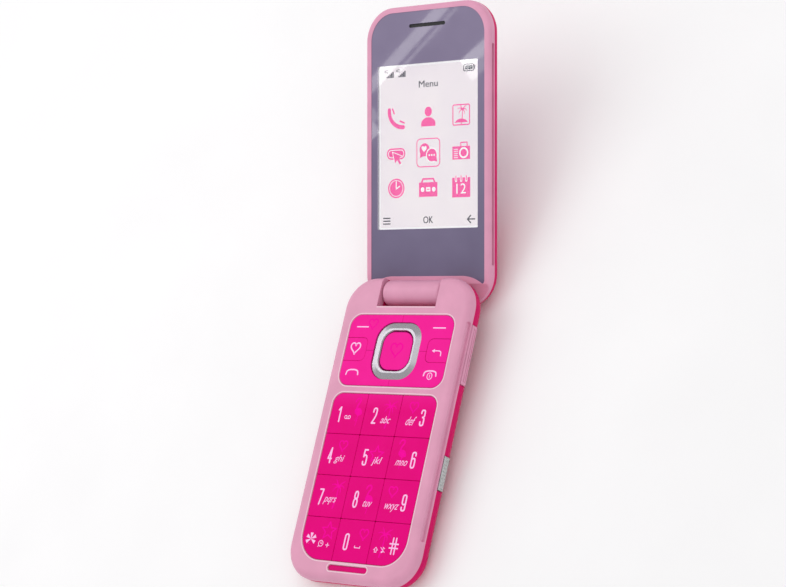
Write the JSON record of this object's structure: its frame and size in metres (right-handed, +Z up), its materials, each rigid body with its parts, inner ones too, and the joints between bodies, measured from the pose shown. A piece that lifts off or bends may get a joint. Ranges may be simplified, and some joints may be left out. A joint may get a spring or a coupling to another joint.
{
  "type": "folding phone",
  "caption": "Clamshell phone with a sprung keypad half hinged to a display half that folds over it.",
  "frame": {"origin": "under the middle of the hinge axis, at the height of the surface the open phone lies on", "axes": "+Z up; +Y from the keypad half to the display half; +X to the right, along the hinge"},
  "size_m": [0.0553, 0.1995, 0.0481],
  "materials": {
    "light_pink_plastic": "satin",
    "hot_pink_plastic": "satin",
    "key_pink_plastic": "semi-gloss",
    "ring_metal": "satin plated",
    "side_key_metal": "ribbed plated",
    "pink_silicone": "matte",
    "window_glass": "polished",
    "cover_mirror": "polished",
    "display_panel": "gloss",
    "board_green": "satin",
    "steel": "brushed",
    "aluminium_plate": "satin",
    "black_plastic": "matte",
    "battery_wrap": "satin",
    "lens_glass": "polished",
    "flash_window": "gloss",
    "brass_contact": "plated"
  },
  "bodies": {
    "base": {"base_front_shell": "light_pink_plastic", "base_back_shell": "hot_pink_plastic", "battery_cover": "hot_pink_plastic", "battery": "battery_wrap", "battery_contacts": "brass_contact", "main_board": "board_green", "key_mat": "pink_silicone", "sim_holder": "steel", "shield_can": "steel", "loudspeaker": "black_plastic", "antenna_carrier": "black_plastic", "microphone": "brass_contact", "volume_switches": "black_plastic", "side_key_switch": "black_plastic", "vibration_motor": "steel", "usb_socket": "steel", "audio_jack": "black_plastic", "base_screws": "steel", "hinge_brackets": "steel", "hinge_pin": "steel"},
    "lid": {"lid_frame": "light_pink_plastic", "lid_back_shell": "hot_pink_plastic", "lid_glass": "window_glass", "main_display": "display_panel", "display_tray": "aluminium_plate", "lid_board": "board_green", "earpiece": "black_plastic", "earpiece_mesh": "black_plastic", "cover_glass": "cover_mirror", "cover_display": "black_plastic", "camera_module": "black_plastic", "camera_lens": "lens_glass", "flash_led": "flash_window", "lid_magnet": "steel", "lid_screws": "steel", "hinge_cartridge": "steel"},
    "key_1": {"key_1": "key_pink_plastic"},
    "key_2": {"key_2": "key_pink_plastic"},
    "key_3": {"key_3": "key_pink_plastic"},
    "key_4": {"key_4": "key_pink_plastic"},
    "key_5": {"key_5": "key_pink_plastic"},
    "key_6": {"key_6": "key_pink_plastic"},
    "key_7": {"key_7": "key_pink_plastic"},
    "key_8": {"key_8": "key_pink_plastic"},
    "key_9": {"key_9": "key_pink_plastic"},
    "key_star": {"key_star": "key_pink_plastic"},
    "key_0": {"key_0": "key_pink_plastic"},
    "key_hash": {"key_hash": "key_pink_plastic"},
    "soft_key_left": {"soft_key_left": "key_pink_plastic"},
    "soft_key_right": {"soft_key_right": "key_pink_plastic"},
    "call_key": {"call_key": "key_pink_plastic"},
    "end_key": {"end_key": "key_pink_plastic"},
    "favourite_key": {"favourite_key": "key_pink_plastic"},
    "back_key": {"back_key": "key_pink_plastic"},
    "select_key": {"select_key": "key_pink_plastic"},
    "nav_carrier": {"nav_carrier": "steel"},
    "nav_ring": {"nav_ring": "ring_metal"},
    "volume_key": {"volume_key": "light_pink_plastic"},
    "side_key": {"side_key": "side_key_metal"}
  },
  "joints": [
    {"name": "lid_hinge", "type": "hinge", "parent": "base", "child": "lid", "pos_m": [0, 0, 0.01157], "axis": [1, 0, 0], "range_deg": [0, 159.7]},
    {"name": "key_1_press", "type": "slide", "parent": "base", "child": "key_1", "axis": [0, 0.0705, -0.9975], "range_m": [0, 0.0003], "stiffness_N_per_m": 400, "springref_m": -0.0005},
    {"name": "key_2_press", "type": "slide", "parent": "base", "child": "key_2", "axis": [0, 0.0705, -0.9975], "range_m": [0, 0.0003], "stiffness_N_per_m": 400, "springref_m": -0.0005},
    {"name": "key_3_press", "type": "slide", "parent": "base", "child": "key_3", "axis": [0, 0.0705, -0.9975], "range_m": [0, 0.0003], "stiffness_N_per_m": 400, "springref_m": -0.0005},
    {"name": "key_4_press", "type": "slide", "parent": "base", "child": "key_4", "axis": [0, 0.0705, -0.9975], "range_m": [0, 0.0003], "stiffness_N_per_m": 400, "springref_m": -0.0005},
    {"name": "key_5_press", "type": "slide", "parent": "base", "child": "key_5", "axis": [0, 0.0705, -0.9975], "range_m": [0, 0.0003], "stiffness_N_per_m": 400, "springref_m": -0.0005},
    {"name": "key_6_press", "type": "slide", "parent": "base", "child": "key_6", "axis": [0, 0.0705, -0.9975], "range_m": [0, 0.0003], "stiffness_N_per_m": 400, "springref_m": -0.0005},
    {"name": "key_7_press", "type": "slide", "parent": "base", "child": "key_7", "axis": [0, 0.0705, -0.9975], "range_m": [0, 0.0003], "stiffness_N_per_m": 400, "springref_m": -0.0005},
    {"name": "key_8_press", "type": "slide", "parent": "base", "child": "key_8", "axis": [0, 0.0705, -0.9975], "range_m": [0, 0.0003], "stiffness_N_per_m": 400, "springref_m": -0.0005},
    {"name": "key_9_press", "type": "slide", "parent": "base", "child": "key_9", "axis": [0, 0.0705, -0.9975], "range_m": [0, 0.0003], "stiffness_N_per_m": 400, "springref_m": -0.0005},
    {"name": "key_star_press", "type": "slide", "parent": "base", "child": "key_star", "axis": [0, 0.0705, -0.9975], "range_m": [0, 0.0003], "stiffness_N_per_m": 400, "springref_m": -0.0005},
    {"name": "key_0_press", "type": "slide", "parent": "base", "child": "key_0", "axis": [0, 0.0705, -0.9975], "range_m": [0, 0.0003], "stiffness_N_per_m": 400, "springref_m": -0.0005},
    {"name": "key_hash_press", "type": "slide", "parent": "base", "child": "key_hash", "axis": [0, 0.0705, -0.9975], "range_m": [0, 0.0003], "stiffness_N_per_m": 400, "springref_m": -0.0005},
    {"name": "soft_key_left_press", "type": "slide", "parent": "base", "child": "soft_key_left", "axis": [0, 0.0705, -0.9975], "range_m": [0, 0.0003], "stiffness_N_per_m": 400, "springref_m": -0.0005},
    {"name": "soft_key_right_press", "type": "slide", "parent": "base", "child": "soft_key_right", "axis": [0, 0.0705, -0.9975], "range_m": [0, 0.0003], "stiffness_N_per_m": 400, "springref_m": -0.0005},
    {"name": "call_key_press", "type": "slide", "parent": "base", "child": "call_key", "axis": [0, 0.0705, -0.9975], "range_m": [0, 0.0003], "stiffness_N_per_m": 400, "springref_m": -0.0005},
    {"name": "end_key_press", "type": "slide", "parent": "base", "child": "end_key", "axis": [0, 0.0705, -0.9975], "range_m": [0, 0.0003], "stiffness_N_per_m": 400, "springref_m": -0.0005},
    {"name": "favourite_key_press", "type": "slide", "parent": "base", "child": "favourite_key", "axis": [0, 0.0705, -0.9975], "range_m": [0, 0.0003], "stiffness_N_per_m": 400, "springref_m": -0.0005},
    {"name": "back_key_press", "type": "slide", "parent": "base", "child": "back_key", "axis": [0, 0.0705, -0.9975], "range_m": [0, 0.0003], "stiffness_N_per_m": 400, "springref_m": -0.0005},
    {"name": "select_key_press", "type": "slide", "parent": "base", "child": "select_key", "axis": [0, 0.0705, -0.9975], "range_m": [0, 0.0003], "stiffness_N_per_m": 400, "springref_m": -0.0005},
    {"name": "nav_tilt_side", "type": "hinge", "parent": "base", "child": "nav_carrier", "pos_m": [0, -0.02282, 0.01316], "axis": [0, 0.9975, 0.0705], "range_deg": [-1.4, 1.4], "stiffness_Nm_per_rad": 0.05},
    {"name": "nav_tilt_end", "type": "hinge", "parent": "nav_carrier", "child": "nav_ring", "pos_m": [0, -0.02286, 0.01372], "axis": [1, 0, 0], "range_deg": [-1.4, 1.4], "stiffness_Nm_per_rad": 0.05},
    {"name": "volume_rock", "type": "hinge", "parent": "base", "child": "volume_key", "pos_m": [0.0266, -0.02231, 0.01022], "axis": [0, -0.0705, 0.9975], "range_deg": [-1.2, 1.2], "stiffness_Nm_per_rad": 0.05},
    {"name": "side_key_press", "type": "slide", "parent": "base", "child": "side_key", "axis": [-1, 0, 0], "range_m": [0, 0.0003], "stiffness_N_per_m": 400, "springref_m": -0.0005}
  ]
}
